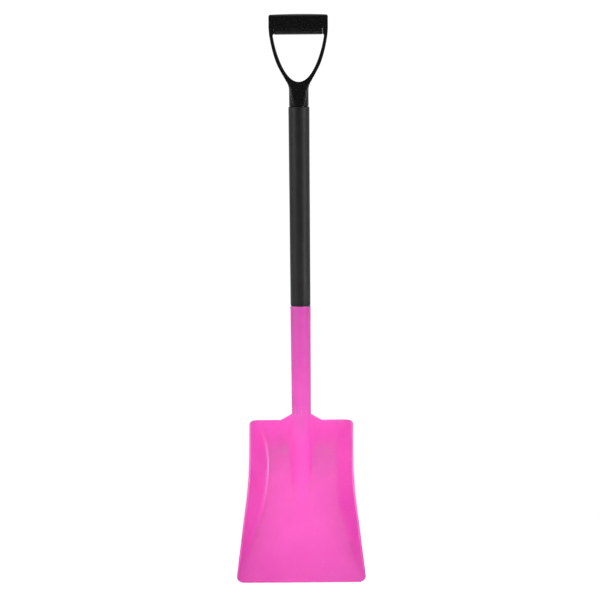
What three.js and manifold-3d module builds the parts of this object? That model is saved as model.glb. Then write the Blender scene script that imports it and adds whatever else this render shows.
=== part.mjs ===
// Square-mouth scoop shovel with a D-grip. Millimetres, +Z along the shaft, the open side faces -Y.
import * as THREE from "three";
import { mergeVertices } from "three/addons/utils/BufferGeometryUtils.js";
import Module from "manifold-3d";

const wasm = await Module();
wasm.setup();

// Clearances
const fit = 0.3; // between any two pieces
const through = 5; // how far a cutter runs past the face it opens

// Blade
const bladeLength = 312;
const bladeTopHalf = 97; // half width inside the rims at the upper edge
const bladeMouthHalf = 122.5; // the same at the mouth
const sheet = 4;
const floorTilt = THREE.MathUtils.degToRad(14);
const floorSetback = 20; // floor behind the shaft axis at the upper edge
const lipRise = 27; // how far the upper edge curls forward
const lipLength = 90;
const wallHeight = 51.5;
const wallCrest = 0.32; // the walls are tallest at this share of the blade's length
const wallRun = 0.645; // share of the length over which they sink to the mouth
const wallDrop = 0.17; // share of their height lost at the upper edge
const wallFullness = 1.25; // higher is a hollower line down to the mouth
const wallLean = 0.66; // outward run of a side wall for each unit forward
const bendPlace = 0.35; // the outline starts to flare at this share of the length
const bendSpread = 0.16; // half length of that bend, as a share
const topCorner = 7.5;
const mouthCorner = 13;
const creaseBlend = 10;
const shoulderRise = 12;
const shoulderReach = 21;

// Shaft
const tubeRadius = 16;
const tubeWall = 1.5;
const boreRadius = tubeRadius + fit;
const socketLength = 221.5; // above the upper edge of the blade
const socketWallMouth = 3.5;
const socketWallFoot = 2.15;
const tubeInset = 48; // how far the tube passes the upper edge of the blade
const sleeveLength = 387.2;
const sleeveWallTop = 3.95;
const sleeveWallFoot = 2.95;
const sleeveRound = 1.7;
const tailLength = 175; // ridge and its backing end this far down the blade
const tailStart = 60;
const ridgeSkin = 0.6; // ridge face proud of the round socket it covers
const ridgeBlend = 8;
const ridgeNose = 0.5; // the ridge starts to sink into the floor at this share of the length
const noseRound = 12;
const flankSteep = 66; // degrees, side of the ridge on the floor
const flankOpening = 20; // degrees less at the upper edge

// Grip
const gapFootHeight = 47.4; // from the end of the sleeve to the foot of the hand gap
const handGapHeight = 92.5;
const barHeight = 38.8;
const gripHalfWidth = 57.4;
const neckWall = 2.5; // neck over the tube's bore, so that it meets the sleeve flush
const flareDrop = 14.4; // the neck starts to open this far under the hand gap
const flareHeight = 29;
const flareOut = 18; // how much wider the neck's bell is at its top
const flareCurve = 1.5;
const flareSteps = 3;
const handGapHalf = 50;
const barDepth = 31;
const armDepth = 21.6;
const insertHeight = 13;
const insertHalf = 46.5;
const spigotLength = 60;
const earRound = 4;
const barBow = 1.2; // how far crown and underside of the bar bulge at the middle
const neckFlat = 2.4; // depth of the flat on the neck's front and back at its foot
const armRise = 6; // the arms' flat sides start this far over the flare's foot
const barBlendFoot = 12; // the arm starts to swell into the bar this far under the gap's top
const barBlendTop = 8; // and has the bar's depth this far over it
const barRound = 0.8; // rounding of the bar's top, as a share of half its depth
const armWaist = { pull: 0.453, half: 0.699, push: 0.836 }; // shares of the half width up the arm
const gapWaist = { foot: 0.586, side: 0.936, height: 0.715 }; // handles of the gap's curve, as shares
const yokeBevel = 2.5;
const curveSteps = 14;
const sideSteps = 8;

// Fixings
const pinRadius = 2;
const pinDrop = 26;
const dowelLength = 110;
const screwRadius = 2;
const screwHeadRadius = 4.2;
const screwHeadHeight = 2.4;
const screwLength = 18;
const bossRadius = 7;
const bossHeight = 1.6;
const screwOffsets = { socket_screw_upper: 32, socket_screw_lower: -20 }; // from the middle of the dowel

const socketTop = bladeLength + socketLength;
const sleeveTop = socketTop + fit + sleeveLength;
const gripFoot = sleeveTop + fit;
const gapFoot = gripFoot + gapFootHeight;
const gapTop = gapFoot + handGapHeight;
const gripTop = gapTop + barHeight;
const neckRadius = boreRadius + neckWall;
const flareFoot = gapFoot - flareDrop;
const tubeFoot = bladeLength - tubeInset;
const tubeTop = gripFoot - fit;
const socketFootRadius = boreRadius + socketWallFoot;
const socketMouthRadius = boreRadius + socketWallMouth;

const looks = {
  pink: { color: 0xe62f9f, roughness: 0.35, metalness: 0 },
  black: { color: 0x17171a, roughness: 0.4, metalness: 0 },
  foam: { color: 0x3a393c, roughness: 0.9, metalness: 0 },
  grey: { color: 0x8c8c8c, roughness: 0.6, metalness: 0 },
  steel: { color: 0xb4b6b8, roughness: 0.35, metalness: 1 },
};

// ---- solids -------------------------------------------------------------------------------------
function solid(geometry) {
  const bare = geometry.clone();
  bare.deleteAttribute("normal");
  bare.deleteAttribute("uv");
  const merged = mergeVertices(bare, 1e-4);
  return new wasm.Manifold(
    new wasm.Mesh({
      numProp: 3,
      vertProperties: new Float32Array(merged.attributes.position.array),
      triVerts: new Uint32Array(merged.index.array),
    }),
  );
}

function piece(name, body, look) {
  const mesh = body.getMesh();
  const geometry = new THREE.BufferGeometry();
  geometry.setAttribute("position", new THREE.BufferAttribute(new Float32Array(mesh.vertProperties), 3));
  geometry.setIndex(new THREE.BufferAttribute(new Uint32Array(mesh.triVerts), 1));
  const shown = new THREE.Mesh(geometry, new THREE.MeshStandardMaterial(looks[look]));
  geometry.computeVertexNormals();
  shown.name = name;
  return shown;
}

// A turned solid about the Z axis: outline points are (radius, height) going up.
function turned(outline, segments = 48) {
  const points = outline.map(([r, z]) => new THREE.Vector2(r, z));
  return solid(new THREE.LatheGeometry(points, segments).rotateX(Math.PI / 2));
}

function rod(radius, from, to, segments = 48) {
  return turned([[0, from], [radius, from], [radius, to], [0, to]], segments);
}

function block(width, depth, from, to) {
  const box = new THREE.BoxGeometry(width, depth, to - from);
  return solid(box.translate(0, 0, (from + to) / 2));
}

// A rod along Y, for cross holes, bosses and pins.
function crossRod(radius, fromY, toY, z, segments = 20) {
  const outline = [[0, fromY], [radius, fromY], [radius, toY], [0, toY]];
  const points = outline.map(([r, y]) => new THREE.Vector2(r, y));
  return solid(new THREE.LatheGeometry(points, segments).translate(0, 0, z));
}

// A front outline in X and Z given a depth along Y, centred on the axis.
function frontExtrusion(shape, depth, bevel) {
  const settings = {
    depth: depth - 2 * bevel,
    bevelEnabled: bevel > 0,
    bevelSize: bevel,
    bevelThickness: bevel,
    bevelOffset: -bevel,
    bevelSegments: 3,
    curveSegments: curveSteps,
  };
  const geometry = new THREE.ExtrudeGeometry(shape, settings);
  return solid(geometry.translate(0, 0, -settings.depth / 2).rotateX(Math.PI / 2));
}

// A side outline in Y and Z given a width along X, centred on the axis.
function sideExtrusion(shape, width) {
  const settings = { depth: width, bevelEnabled: false, curveSegments: sideSteps };
  const geometry = new THREE.ExtrudeGeometry(shape, settings);
  return solid(geometry.translate(0, 0, -width / 2).rotateY(Math.PI / 2).rotateX(Math.PI / 2));
}

// ---- blade --------------------------------------------------------------------------------------
// v is the distance down from the upper edge of the blade.
function smoothMin(a, b, blend) {
  const h = Math.max(blend - Math.abs(a - b), 0) / blend;
  return Math.min(a, b) - (h * h * blend) / 4;
}

// Straight near the upper edge, then an even flare to the mouth with a gentle bend between.
function outlineHalf(v) {
  const bend = bendPlace * bladeLength;
  const spread = bendSpread * bladeLength;
  const flare = (bladeMouthHalf - bladeTopHalf) / (bladeLength - bend);
  const t = THREE.MathUtils.clamp((v - bend + spread) / (2 * spread), 0, 1);
  const out = v > bend + spread ? flare * (v - bend) : flare * spread * t * t;
  return bladeTopHalf + out;
}

function cornerCut(distance, radius) {
  const short = Math.max(radius - distance, 0);
  return radius - Math.sqrt(Math.max(radius * radius - short * short, 0));
}

function rimHalf(v) {
  const top = cornerCut(Math.max(v, 0), topCorner);
  return outlineHalf(v) - top - cornerCut(bladeLength - v, mouthCorner);
}

function floorPlane(v) {
  return floorSetback - v * Math.tan(floorTilt);
}

function floorDepth(v) {
  const lip = Math.max(1 - v / lipLength, 0);
  return floorPlane(v) - lipRise * lip * lip;
}

function wallEdgeDepth(v) {
  const crest = bladeLength * wallCrest;
  const up = (crest - v) / crest;
  const down = (v - crest) / (bladeLength * wallRun);
  const below = Math.max(1 - down * down, 0) ** wallFullness;
  const height = v < crest ? 1 - wallDrop * up * up : below;
  return floorPlane(v) - wallHeight * height;
}

// The scoop surface without the ridge.
function scoopDepth(x, v) {
  const wall = wallEdgeDepth(v) + (outlineHalf(v) - Math.abs(x)) / wallLean;
  return smoothMin(floorDepth(v), wall, creaseBlend);
}

// The ridge carries the socket's front on down the floor, with flanks that open out towards the top.
function ridgeDepth(x, v) {
  const open = THREE.MathUtils.clamp(1 - v / lipLength, 0, 1);
  const steep = THREE.MathUtils.degToRad(flankSteep - flankOpening * open * open);
  const nose = Math.max(v - ridgeNose * bladeLength, 0);
  const radius = socketFootRadius + ridgeSkin;
  const foot = radius * Math.sin(steep);
  const run = Math.abs(x);
  const drop = (nose * nose) / noseRound;
  if (run > foot) return -radius * Math.cos(steep) + (run - foot) * Math.tan(steep) + drop;
  return -Math.sqrt(radius * radius - run * run) + drop;
}

function frontDepth(x, v) {
  return smoothMin(scoopDepth(x, v), ridgeDepth(x, v), ridgeBlend);
}

// Columns are closer together across the ridge than over the rest of the sheet.
function columnAt(u, half) {
  const middle = 26;
  const share = 0.4;
  const a = Math.abs(u);
  const outside = middle + ((half - middle) * (a - share)) / (1 - share);
  return Math.sign(u) * (a < share ? (a / share) * middle : outside);
}

// Rows are closer together at both ends, where the corners are round.
function rowAt(w) {
  const crowding = 0.5;
  return w - (crowding * Math.sin(2 * Math.PI * w)) / (2 * Math.PI);
}

function shoulderAt(x) {
  const out = (Math.abs(x) - socketFootRadius) / shoulderReach;
  return shoulderRise * THREE.MathUtils.clamp(1 - out, 0, 1);
}

// A slab whose front and back are moved onto the surface and its offset. The shoulders rise out of
// the first rows and die away quickly below them.
function scoop() {
  const columns = 40;
  const rows = 36;
  const fade = 8;
  const slab = new THREE.BoxGeometry(2, 1, 1, columns, 1, rows);
  const at = slab.attributes.position;
  const step = 0.5;
  for (let i = 0; i < at.count; i++) {
    const w = rowAt(0.5 - at.getZ(i));
    const x = columnAt(at.getX(i), rimHalf(w * bladeLength));
    const v = w * bladeLength - shoulderAt(x) * (1 - w) ** fade;
    const slope = (scoopDepth(x + step, v) - scoopDepth(x - step, v)) / (2 * step);
    const normal = Math.hypot(slope, 1);
    const back = at.getY(i) > 0;
    at.setX(i, back ? x - (sheet * slope) / normal : x);
    at.setY(i, back ? scoopDepth(x, v) + sheet / normal : frontDepth(x, v));
    at.setZ(i, bladeLength - v);
  }
  return solid(slab);
}

// The closed end of the socket behind the floor: a barrel cut off by a sloping plane.
function tail() {
  const barrel = rod(socketFootRadius, bladeLength - tailLength, bladeLength);
  const side = new THREE.Shape();
  const floorBack = floorDepth(tailLength) + sheet / 2;
  side.moveTo(socketFootRadius + through, bladeLength + through);
  side.lineTo(socketFootRadius + fit, bladeLength - tailStart);
  side.lineTo(floorBack, bladeLength - tailLength);
  for (const v of [tailLength * 0.8, tailStart, 0]) {
    side.lineTo(floorDepth(v) + sheet / 2, bladeLength - v);
  }
  side.lineTo(floorDepth(0) + sheet / 2, bladeLength + through);
  return barrel.intersect(sideExtrusion(side, 4 * socketFootRadius));
}

function socket() {
  const lip = 1;
  return turned([
    [0, bladeLength - tubeInset],
    [socketFootRadius, bladeLength - tubeInset],
    [socketFootRadius, bladeLength],
    [socketMouthRadius - lip / 2, socketTop - 4 * lip],
    [socketMouthRadius, socketTop - 3 * lip],
    [socketMouthRadius, socketTop - lip / 2],
    [socketMouthRadius - lip / 2, socketTop],
    [0, socketTop],
  ]);
}

function screwHeight(name) {
  return tubeFoot + dowelLength / 2 + screwOffsets[name];
}

// Radius of the socket at a height.
function socketBack(z) {
  const t = Math.max((z - bladeLength) / socketLength, 0);
  return THREE.MathUtils.lerp(socketFootRadius, socketMouthRadius, t);
}

function blade() {
  let body = scoop().add(tail()).add(socket());
  for (const name of Object.keys(screwOffsets)) {
    const z = screwHeight(name);
    body = body.add(crossRod(bossRadius, boreRadius / 2, socketBack(z) + bossHeight, z, 28));
  }
  body = body.subtract(rod(boreRadius, tubeFoot - fit, socketTop + through));
  for (const name of Object.keys(screwOffsets)) {
    body = body.subtract(crossRod(screwRadius + fit, 0, socketMouthRadius + through, screwHeight(name)));
  }
  return body;
}

// ---- shaft --------------------------------------------------------------------------------------
function tube() {
  let body = rod(tubeRadius, tubeFoot, tubeTop).subtract(
    rod(tubeRadius - tubeWall, tubeFoot - through, tubeTop + through),
  );
  for (const name of Object.keys(screwOffsets)) {
    body = body.subtract(crossRod(screwRadius + fit, 0, tubeRadius + through, screwHeight(name)));
  }
  return body.subtract(crossRod(pinRadius + fit, -tubeRadius - through, tubeRadius + through, pinHeight()));
}

function dowel() {
  const radius = tubeRadius - tubeWall - fit;
  const chamfer = 1.5;
  let body = turned([
    [0, tubeFoot],
    [radius - chamfer, tubeFoot],
    [radius, tubeFoot + chamfer],
    [radius, tubeFoot + dowelLength - chamfer],
    [radius - chamfer, tubeFoot + dowelLength],
    [0, tubeFoot + dowelLength],
  ]);
  for (const name of Object.keys(screwOffsets)) {
    body = body.subtract(crossRod(screwRadius + fit, 0, tubeRadius, screwHeight(name)));
  }
  return body;
}

function screw(name) {
  const z = screwHeight(name);
  const seat = socketBack(z) + bossHeight + fit;
  const crown = seat + screwHeadHeight;
  const outline = [
    [0, seat - screwLength],
    [screwRadius, seat - screwLength + screwRadius],
    [screwRadius, seat],
    [screwHeadRadius, seat],
    [screwHeadRadius, seat + screwHeadHeight / 2],
    [screwHeadRadius * 0.7, crown - fit],
    [0, crown],
  ];
  const points = outline.map(([r, y]) => new THREE.Vector2(r, y));
  let body = solid(new THREE.LatheGeometry(points, 24).translate(0, 0, z));
  for (const turn of [0, Math.PI / 2]) {
    const slot = new THREE.BoxGeometry(screwHeadRadius, screwHeadHeight, 1).rotateY(turn);
    body = body.subtract(solid(slot.translate(0, crown, z)));
  }
  return body;
}

function sleeve() {
  const top = boreRadius + sleeveWallTop;
  const foot = boreRadius + sleeveWallFoot;
  const from = socketTop + fit;
  const outline = [[boreRadius, from]];
  for (let i = 0; i <= 4; i++) {
    const a = (i * Math.PI) / 8;
    const r = foot - sleeveRound + sleeveRound * Math.sin(a);
    outline.push([r, from + sleeveRound * (1 - Math.cos(a))]);
  }
  for (let i = 0; i <= 4; i++) {
    const a = (i * Math.PI) / 8;
    const r = top - sleeveRound + sleeveRound * Math.cos(a);
    outline.push([r, sleeveTop - sleeveRound * (1 - Math.sin(a))]);
  }
  outline.push([boreRadius, sleeveTop], [boreRadius, from]);
  return turned(outline);
}

// ---- grip ---------------------------------------------------------------------------------------
function pinHeight() {
  return gripFoot - pinDrop;
}

function pin() {
  const half = tubeRadius - fit;
  return crossRod(pinRadius, -half, half, pinHeight());
}

// A height on the grip: level 0 to 1 is up the neck, 1 to 2 up the hand gap and 2 to 3 up the bar.
function gripLevel(level) {
  const levels = [gripFoot, gapFoot, gapTop, gripTop];
  const zone = Math.min(Math.floor(level), 2);
  return THREE.MathUtils.lerp(levels[zone], levels[zone + 1], level - zone);
}

// Outer line of the yoke: neck, two curves out to the ear, round ear, crowned bar. One side is worked
// out as points going up, and the other is its mirror going down.
function yokeOutline() {
  const neckTop = new THREE.Vector2(neckRadius, gripLevel(0.656));
  const bend = new THREE.Vector2(neckRadius, gripLevel(0.941));
  const armPull = new THREE.Vector2(armWaist.pull * gripHalfWidth, gripLevel(1.02));
  const arm = new THREE.Vector2(armWaist.half * gripHalfWidth, gripLevel(1.326));
  const armPush = new THREE.Vector2(armWaist.push * gripHalfWidth, gripLevel(1.496));
  const earPull = new THREE.Vector2(gripHalfWidth, gripLevel(1.904));
  const earFoot = new THREE.Vector2(gripHalfWidth, gripLevel(2.363));
  const ear = gripTop - barBow;
  const side = [
    new THREE.Vector2(neckRadius, gripFoot),
    ...new THREE.CubicBezierCurve(neckTop, bend, armPull, arm).getPoints(curveSteps),
    ...new THREE.CubicBezierCurve(arm, armPush, earPull, earFoot).getPoints(curveSteps).slice(1),
    ...roundedEar(ear),
  ];
  const other = side.map((point) => new THREE.Vector2(-point.x, point.y)).reverse();
  return new THREE.Shape([...side, ...crown(ear), ...other]);
}

// The round corner at the end of the bar.
function roundedEar(ear) {
  const from = new THREE.Vector2(gripHalfWidth, ear - earRound);
  const corner = new THREE.Vector2(gripHalfWidth, ear);
  const to = new THREE.Vector2(gripHalfWidth - earRound, ear);
  return new THREE.QuadraticBezierCurve(from, corner, to).getPoints(curveSteps / 2);
}

// The bowed top of the bar, without its two ends.
function crown(ear) {
  const end = gripHalfWidth - earRound;
  const from = new THREE.Vector2(end, ear);
  const to = new THREE.Vector2(-end, ear);
  const top = new THREE.Vector2(0, gripTop + barBow);
  return new THREE.QuadraticBezierCurve(from, top, to).getPoints(curveSteps).slice(1, -1);
}

// The hand gap: a deep U with a slightly bowed top under the bar.
function handGap() {
  const shape = new THREE.Shape();
  const waist = gapFoot + gapWaist.height * handGapHeight;
  const foot = gapWaist.foot * handGapHalf;
  const side = gapWaist.side * handGapHalf;
  shape.moveTo(0, gapFoot);
  shape.bezierCurveTo(foot, gapFoot, side, waist, handGapHalf, gapTop);
  shape.quadraticCurveTo(0, gapTop - 2 * barBow, -handGapHalf, gapTop);
  shape.bezierCurveTo(-side, waist, -foot, gapFoot, 0, gapFoot);
  return shape;
}

// Side view of the yoke: thick round neck, flat arms, rounded bar.
function yokeSide() {
  const shape = new THREE.Shape();
  const arm = armDepth / 2;
  const bar = barDepth / 2;
  const armFoot = flareFoot + armRise;
  const armTop = gapTop - barBlendFoot;
  const blend = gapTop - barBlendFoot / 3;
  const barFull = gapTop + barBlendTop;
  const roundFoot = gripTop - bar * barRound;
  shape.moveTo(-neckRadius + neckFlat, gripFoot);
  shape.lineTo(-arm, armFoot);
  shape.lineTo(-arm, armTop);
  shape.quadraticCurveTo(-bar, blend, -bar, barFull);
  shape.lineTo(-bar, roundFoot);
  shape.quadraticCurveTo(-bar, gripTop, 0, gripTop);
  shape.quadraticCurveTo(bar, gripTop, bar, roundFoot);
  shape.lineTo(bar, barFull);
  shape.quadraticCurveTo(bar, blend, arm, armTop);
  shape.lineTo(arm, armFoot);
  shape.lineTo(neckRadius - neckFlat, gripFoot);
  return shape;
}

// Underside of the hand bar at its middle, where it is bowed down a little.
function barFoot() {
  return gapTop - barBow;
}

// Section of the hand bar under its parting line, grown by a gap.
function insertSide(grow) {
  const shape = new THREE.Shape();
  const bar = barDepth / 2 + grow;
  const foot = barFoot() - grow;
  const parting = foot + insertHeight + 2 * grow;
  const rib = barDepth / 4 + grow;
  shape.moveTo(-bar, parting);
  shape.quadraticCurveTo(-bar, foot, 0, foot);
  shape.quadraticCurveTo(bar, foot, bar, parting);
  shape.lineTo(rib, parting);
  shape.lineTo(rib, parting + insertHeight);
  shape.lineTo(-rib, parting + insertHeight);
  shape.lineTo(-rib, parting);
  return shape;
}

// Round below, opening out like a bell so that the arms leave it without a step.
function neckEnvelope() {
  const outline = [[0, gripFoot], [neckRadius, gripFoot]];
  for (let i = 0; i <= flareSteps; i++) {
    const climb = i / flareSteps;
    outline.push([neckRadius + flareOut * climb ** flareCurve, flareFoot + flareHeight * climb]);
  }
  const flareTop = flareFoot + flareHeight;
  outline.push([0, flareTop]);
  const above = block(4 * gripHalfWidth, 4 * neckRadius, flareTop, gripTop + through);
  return turned(outline, 56).add(above);
}

function yoke() {
  const spigotRadius = tubeRadius - tubeWall - fit;
  const chamfer = 2;
  const plate = frontExtrusion(yokeOutline(), 2 * neckRadius, yokeBevel);
  const gap = frontExtrusion(handGap(), 4 * neckRadius, 0);
  let body = plate.subtract(gap).intersect(sideExtrusion(yokeSide(), 4 * gripHalfWidth));
  body = body.intersect(neckEnvelope());
  const trough = sideExtrusion(insertSide(fit), 2 * (insertHalf + fit));
  const parting = barFoot() + insertHeight + fit;
  const belly = block(2 * (insertHalf + fit), 2 * barDepth, barFoot() - through, parting);
  const spigot = turned([
    [0, gripFoot - spigotLength],
    [spigotRadius - chamfer, gripFoot - spigotLength],
    [spigotRadius, gripFoot - spigotLength + chamfer],
    [spigotRadius, gripFoot + chamfer],
    [0, gripFoot + chamfer],
  ]);
  body = body.subtract(trough.add(belly)).add(spigot);
  return body.subtract(crossRod(pinRadius + fit, -tubeRadius, tubeRadius, pinHeight()));
}

function insert() {
  return sideExtrusion(insertSide(0), 2 * insertHalf);
}

// ---- assembly -----------------------------------------------------------------------------------
const shovel = new THREE.Group();
shovel.add(
  piece("blade", blade(), "pink"),
  piece("shaft_tube", tube(), "steel"),
  piece("shaft_dowel", dowel(), "grey"),
  piece("shaft_sleeve", sleeve(), "foam"),
  piece("grip_frame", yoke(), "black"),
  piece("grip_bar_insert", insert(), "black"),
  piece("grip_pin", pin(), "steel"),
  piece("socket_screw_upper", screw("socket_screw_upper"), "steel"),
  piece("socket_screw_lower", screw("socket_screw_lower"), "steel"),
);

// The middle of the bounding box stands over the origin, the mouth on the XY plane.
const bounds = new THREE.Box3().setFromObject(shovel);
shovel.position.y = -(bounds.min.y + bounds.max.y) / 2;
shovel.position.z = -bounds.min.z;

export default shovel;
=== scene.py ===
import math

import bmesh
import bpy
import numpy as np
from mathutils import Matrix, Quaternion, Vector


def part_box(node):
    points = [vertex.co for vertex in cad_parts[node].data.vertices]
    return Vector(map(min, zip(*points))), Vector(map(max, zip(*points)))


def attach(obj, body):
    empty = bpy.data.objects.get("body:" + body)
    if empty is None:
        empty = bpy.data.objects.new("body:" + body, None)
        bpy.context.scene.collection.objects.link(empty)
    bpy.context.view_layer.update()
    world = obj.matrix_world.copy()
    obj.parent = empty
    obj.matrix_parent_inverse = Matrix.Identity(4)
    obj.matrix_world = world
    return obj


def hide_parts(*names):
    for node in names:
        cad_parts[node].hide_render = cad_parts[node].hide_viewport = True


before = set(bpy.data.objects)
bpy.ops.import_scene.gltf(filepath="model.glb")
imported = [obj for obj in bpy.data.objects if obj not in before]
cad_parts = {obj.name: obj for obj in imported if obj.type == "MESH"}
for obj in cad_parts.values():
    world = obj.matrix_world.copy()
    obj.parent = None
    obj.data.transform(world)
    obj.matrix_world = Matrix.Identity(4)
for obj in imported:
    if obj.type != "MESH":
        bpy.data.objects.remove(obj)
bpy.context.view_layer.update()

mm = 0.001
scene = bpy.context.scene

# places taken from the fixed frame, in millimetres
sleeveLow, sleeveHigh = (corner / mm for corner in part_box("shaft_sleeve"))
bladeTop = (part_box("blade")[1] / mm).z
gripTop = (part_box("grip_frame")[1] / mm).z
tubeFoot = (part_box("shaft_tube")[0] / mm).z
axisY = (sleeveLow.y + sleeveHigh.y) / 2
clearance = 0.3         # between neighbouring pieces
screwHead = 2.4         # height of the pan heads, which the blade's seats leave room for
print("frame read: shaft axis at y", round(axisY, 2), "mm")


# meshes from numbers, in millimetres
def pieceFromArrays(name, verts, faces, sharpAngle=38):
    mesh = bpy.data.meshes.new(name)
    mesh.from_pydata((np.asarray(verts, float) * mm).tolist(), [], faces)
    mesh.update()
    bm = bmesh.new()
    bm.from_mesh(mesh)
    bmesh.ops.remove_doubles(bm, verts=bm.verts, dist=1e-6)
    bmesh.ops.recalc_face_normals(bm, faces=bm.faces)
    bm.to_mesh(mesh)
    bm.free()
    obj = bpy.data.objects.new(name, mesh)
    scene.collection.objects.link(obj)
    smoothShade(obj, sharpAngle)
    return obj


def smoothShade(obj, sharpAngle=38):
    mesh = obj.data
    mesh.polygons.foreach_set("use_smooth", [True] * len(mesh.polygons))
    mesh.set_sharp_from_angle(angle=math.radians(sharpAngle))
    mesh.update()


# an outline of (radius, place along the axis) turned all the way round
def latheArrays(outline, segments, axis, centre):
    verts = []
    faces = []
    rings = []
    for radius, along in outline:
        if radius < 1e-6:
            rings.append([len(verts)])
            verts.append(placeOnAxis(0.0, 0.0, along, axis, centre))
            continue
        ring = []
        for i in range(segments):
            turn = 2 * math.pi * i / segments
            ring.append(len(verts))
            verts.append(placeOnAxis(radius * math.cos(turn), radius * math.sin(turn), along, axis, centre))
        rings.append(ring)
    for lower, upper in zip(rings, rings[1:]):
        if len(lower) == 1 and len(upper) == 1:
            continue
        for i in range(segments):
            j = (i + 1) % segments
            if len(lower) == 1:
                faces.append((lower[0], upper[j], upper[i]))
            elif len(upper) == 1:
                faces.append((lower[i], lower[j], upper[0]))
            else:
                faces.append((lower[i], lower[j], upper[j], upper[i]))
    return verts, faces


def placeOnAxis(a, b, along, axis, centre):
    if axis == "z":
        return (centre[0] + a, centre[1] + b, centre[2] + along)
    return (centre[0] + a, centre[1] + along, centre[2] - b)


def lathed(name, outline, segments=96, axis="z", centre=(0.0, 0.0, 0.0), closed=False, sharpAngle=38):
    points = list(outline) + ([outline[0]] if closed else [])
    verts, faces = latheArrays(points, segments, axis, centre)
    return pieceFromArrays(name, verts, faces, sharpAngle)


# a flat outline pushed through from low to high
def prism(name, outline, across, low, high):
    n = len(outline)
    verts = []
    for end in (low, high):
        for a, b in outline:
            verts.append((a, end, b) if across == "y" else (end, a, b))
    faces = [tuple(range(n)), tuple(range(2 * n - 1, n - 1, -1))]
    faces += [(i, i + n, (i + 1) % n + n, (i + 1) % n) for i in range(n)]
    return pieceFromArrays(name, verts, faces)


def combine(target, tool, operation):
    step = target.modifiers.new("step", "BOOLEAN")
    step.operation = operation
    step.solver = "EXACT"
    step.object = tool
    bakeModifiers(target)
    bpy.data.objects.remove(tool)
    return target


def bakeModifiers(obj):
    graph = bpy.context.evaluated_depsgraph_get()
    mesh = bpy.data.meshes.new_from_object(obj.evaluated_get(graph))
    obj.modifiers.clear()
    obj.data = mesh
    return obj


# surface effects shared by the materials
def newGroup(name, inputs, outputs):
    group = bpy.data.node_groups.new(name, "ShaderNodeTree")
    for label, value in inputs.items():
        socket = group.interface.new_socket(name=label, in_out="INPUT", socket_type="NodeSocketFloat")
        socket.default_value = value
    for label, kind in outputs.items():
        group.interface.new_socket(name=label, in_out="OUTPUT", socket_type=kind)
    source = group.nodes.new("NodeGroupInput")
    sink = group.nodes.new("NodeGroupOutput")
    return group, source, sink


def addNode(tree, kind, **settings):
    node = tree.nodes.new(kind)
    for key, value in settings.items():
        setattr(node, key, value)
    return node


def noiseNode(tree, vector, scale, detail=3.0, roughness=0.5):
    node = addNode(tree, "ShaderNodeTexNoise")
    tree.links.new(vector, node.inputs["Vector"])
    if isinstance(scale, (int, float)):
        node.inputs["Scale"].default_value = scale
    else:
        tree.links.new(scale, node.inputs["Scale"])
    node.inputs["Detail"].default_value = detail
    node.inputs["Roughness"].default_value = roughness
    return node.outputs["Fac"]


def mathNode(tree, operation, a, b, clamp=False):
    node = addNode(tree, "ShaderNodeMath", operation=operation, use_clamp=clamp)
    for socket, value in zip(node.inputs, (a, b)):
        if isinstance(value, (int, float)):
            socket.default_value = value
        else:
            tree.links.new(value, socket)
    return node.outputs[0]


def rangeNode(tree, value, low, high, newLow, newHigh):
    node = addNode(tree, "ShaderNodeMapRange", clamp=True)
    limits = {"From Min": low, "From Max": high, "To Min": newLow, "To Max": newHigh}
    for label, number in limits.items():
        if isinstance(number, (int, float)):
            node.inputs[label].default_value = number
        else:
            tree.links.new(number, node.inputs[label])
    tree.links.new(value, node.inputs["Value"])
    return node.outputs["Result"]


def makeGroups():
    groups = {}

    # spark-eroded tool texture: a pebbled height and a slow drift in gloss
    group, source, sink = newGroup("mouldGrain", {"Scale": 900.0, "Drift": 9.0},
                                   {"Height": "NodeSocketFloat", "Gloss": "NodeSocketFloat"})
    place = addNode(group, "ShaderNodeTexCoord").outputs["Object"]
    pebble = noiseNode(group, place, source.outputs["Scale"], 2.0, 0.6)
    drift = noiseNode(group, place, source.outputs["Drift"], 4.0, 0.55)
    group.links.new(pebble, sink.inputs["Height"])
    group.links.new(drift, sink.inputs["Gloss"])
    groups["grain"] = group

    # hairline handling scratches running mostly up and down the tool
    group, source, sink = newGroup("hairlines", {"Amount": 0.5},
                                   {"Height": "NodeSocketFloat", "Mask": "NodeSocketFloat"})
    place = addNode(group, "ShaderNodeTexCoord").outputs["Object"]
    stretch = addNode(group, "ShaderNodeMapping")
    stretch.inputs["Rotation"].default_value = (0.1, 0.35, 0.2)
    stretch.inputs["Scale"].default_value = (420.0, 420.0, 9.0)
    group.links.new(place, stretch.inputs["Vector"])
    lines = noiseNode(group, stretch.outputs["Vector"], 1.0, 1.0, 0.4)
    patches = noiseNode(group, place, 22.0, 2.0, 0.5)
    thin = rangeNode(group, lines, 0.66, 0.74, 0.0, 1.0)
    where = rangeNode(group, patches, 0.5, 0.66, 0.0, source.outputs["Amount"])
    mask = mathNode(group, "MULTIPLY", thin, where, True)
    group.links.new(mask, sink.inputs["Mask"])
    group.links.new(mathNode(group, "MULTIPLY", mask, -1.0), sink.inputs["Height"])
    groups["scratch"] = group

    # mask of raised edges, which the pink and black paint a little lighter as a painted highlight, and of
    # hollows, painted a little darker
    group, source, sink = newGroup("edgeHighlight", {"Sharpness": 0.06},
                                   {"Edge": "NodeSocketFloat", "Hollow": "NodeSocketFloat"})
    point = addNode(group, "ShaderNodeNewGeometry").outputs["Pointiness"]
    top = mathNode(group, "ADD", 0.5, source.outputs["Sharpness"])
    bottom = mathNode(group, "SUBTRACT", 0.5, source.outputs["Sharpness"])
    group.links.new(rangeNode(group, point, 0.505, top, 0.0, 1.0), sink.inputs["Edge"])
    group.links.new(rangeNode(group, point, bottom, 0.495, 1.0, 0.0), sink.inputs["Hollow"])
    groups["rub"] = group
    return groups


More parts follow.
